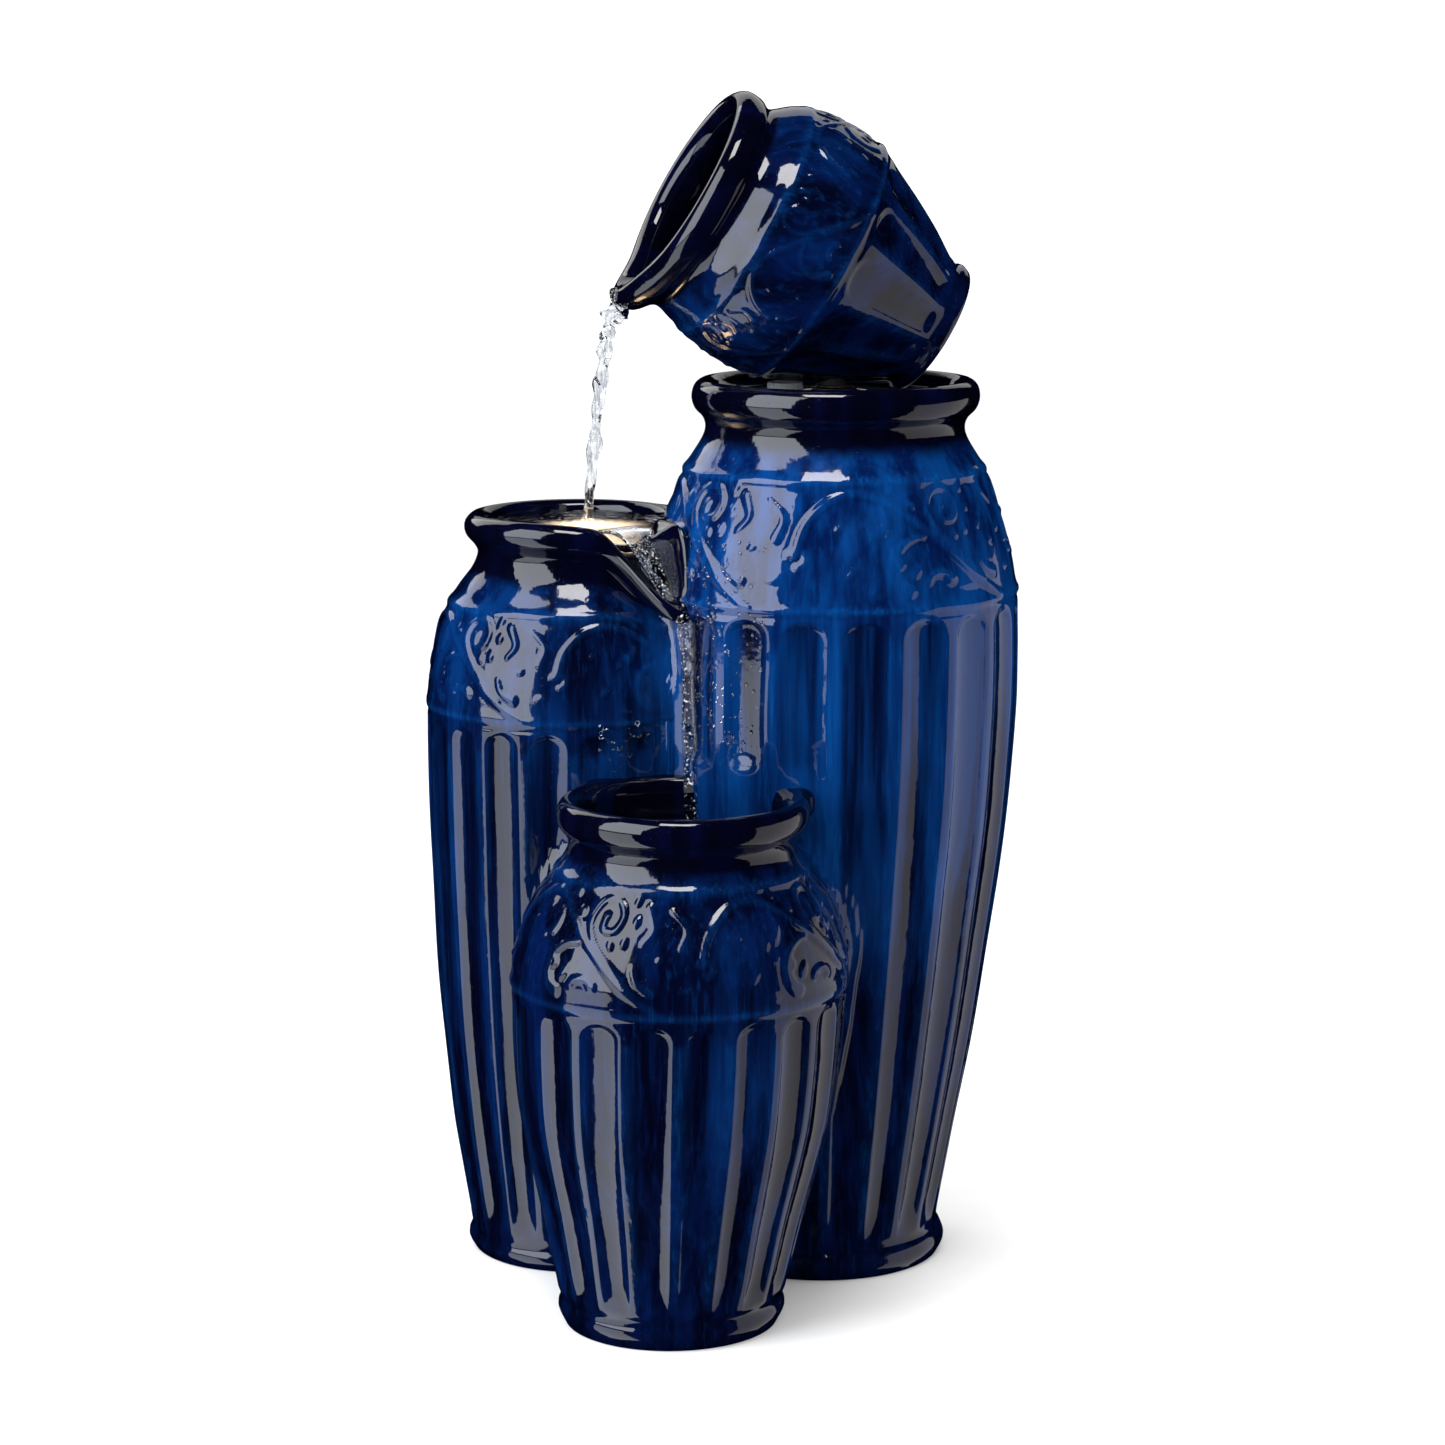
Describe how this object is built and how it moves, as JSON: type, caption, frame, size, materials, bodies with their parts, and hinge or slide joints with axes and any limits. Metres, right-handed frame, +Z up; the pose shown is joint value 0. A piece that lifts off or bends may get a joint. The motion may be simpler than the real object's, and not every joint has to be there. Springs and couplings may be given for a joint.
{
  "type": "tabletop water fountain",
  "caption": "Cascading water fountain of three joined cobalt-glazed jars with a jug on top that pours through a lit basin into a pumped reservoir.",
  "frame": {"origin": "bottom centre of the bounding box, on the surface that the fountain stands on", "axes": "+Z up, -Y towards the viewer who faces the smallest jar, +X to the tall jar's side"},
  "size_m": [0.3969, 0.3834, 0.7828],
  "materials": {
    "glaze": "high gloss cobalt blue, streaked",
    "black_plastic": "satin moulded",
    "clear_plastic": "clear moulded",
    "vinyl_hose": "translucent, soft",
    "rubber": "matt",
    "steel": "bright",
    "white_ceramic": "fine ground",
    "circuit_board": "solder mask"
  },
  "bodies": {
    "root": {"tall_jar": "glaze", "middle_jar": "glaze", "front_jar": "glaze", "dish_socket": "black_plastic", "dish_socket_nut": "black_plastic", "jug_rest_pad": "clear_plastic", "riser_hose": "vinyl_hose", "hose_clamp_lower": "steel", "hose_clamp_upper": "steel", "hose_wall_grommet": "rubber", "lead_wall_grommet": "rubber", "light_wall_grommet": "rubber", "pump_housing": "black_plastic", "impeller_chamber": "black_plastic", "outlet_nozzle": "black_plastic", "chamber_seal": "rubber", "impeller_shaft": "white_ceramic", "rear_bush": "rubber", "front_bush": "white_ceramic", "suction_foot_1": "clear_plastic", "suction_foot_2": "clear_plastic", "suction_foot_3": "clear_plastic", "suction_foot_4": "clear_plastic", "light_housing": "black_plastic", "light_board": "circuit_board", "light_lens": "clear_plastic", "light_lead": "black_plastic", "pump_lead": "black_plastic", "lead_splitter": "black_plastic", "supply_lead": "black_plastic", "rear_cable_gland": "black_plastic"},
    "jug": {"pouring_jug": "glaze", "jug_inlet_spigot": "clear_plastic", "jug_inlet_grommet": "rubber"},
    "impeller": {"impeller": "clear_plastic", "rotor_magnet": "black_plastic"},
    "intake": {"intake_cover": "black_plastic"},
    "flow_gate": {"flow_knob": "black_plastic"}
  },
  "joints": [
    {"name": "jug_lift", "type": "slide", "parent": "root", "child": "jug", "axis": [0, 0, 1], "range_m": [0, 0.12]},
    {"name": "impeller_spin", "type": "hinge", "parent": "root", "child": "impeller", "pos_m": [-0.031, -0.096, 0.035], "axis": [0, 1, 0], "continuous": true},
    {"name": "intake_pull", "type": "slide", "parent": "root", "child": "intake", "axis": [0, -1, 0], "range_m": [0, 0.018]},
    {"name": "flow_turn", "type": "hinge", "parent": "intake", "child": "flow_gate", "pos_m": [-0.031, -0.1216, 0.045], "axis": [0, -1, 0], "range_deg": [0, 90]}
  ]
}
